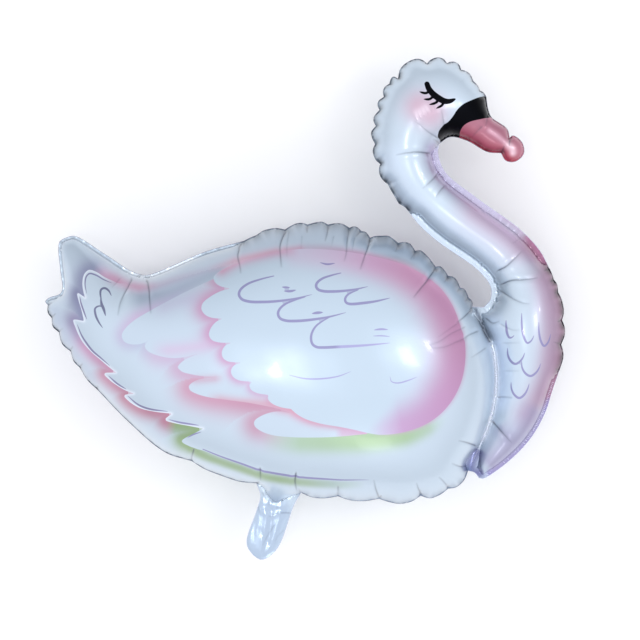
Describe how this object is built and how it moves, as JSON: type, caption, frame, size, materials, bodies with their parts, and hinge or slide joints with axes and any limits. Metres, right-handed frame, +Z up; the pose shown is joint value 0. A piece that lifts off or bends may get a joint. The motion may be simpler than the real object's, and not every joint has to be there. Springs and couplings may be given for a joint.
{
  "type": "swan foil balloon",
  "caption": "Inflated foil balloon in the shape of a swan with a curved neck, heat-sealed rim and filler tail, lying on its side.",
  "frame": {"origin": "on the floor under the middle of the balloon's bounding box", "axes": "+X the way the swan faces, from tail to breast; +Y up the swan, from filler tail to crown; +Z up from the floor it lies on, across the two foils"},
  "size_m": [0.8294, 0.8016, 0.282],
  "materials": {
    "printed_foil": "pearl white metallised film, printed with soft feathers and heat sealed round the edge"
  },
  "bodies": {
    "root": {"swan_balloon": "printed_foil"}
  },
  "joints": []
}
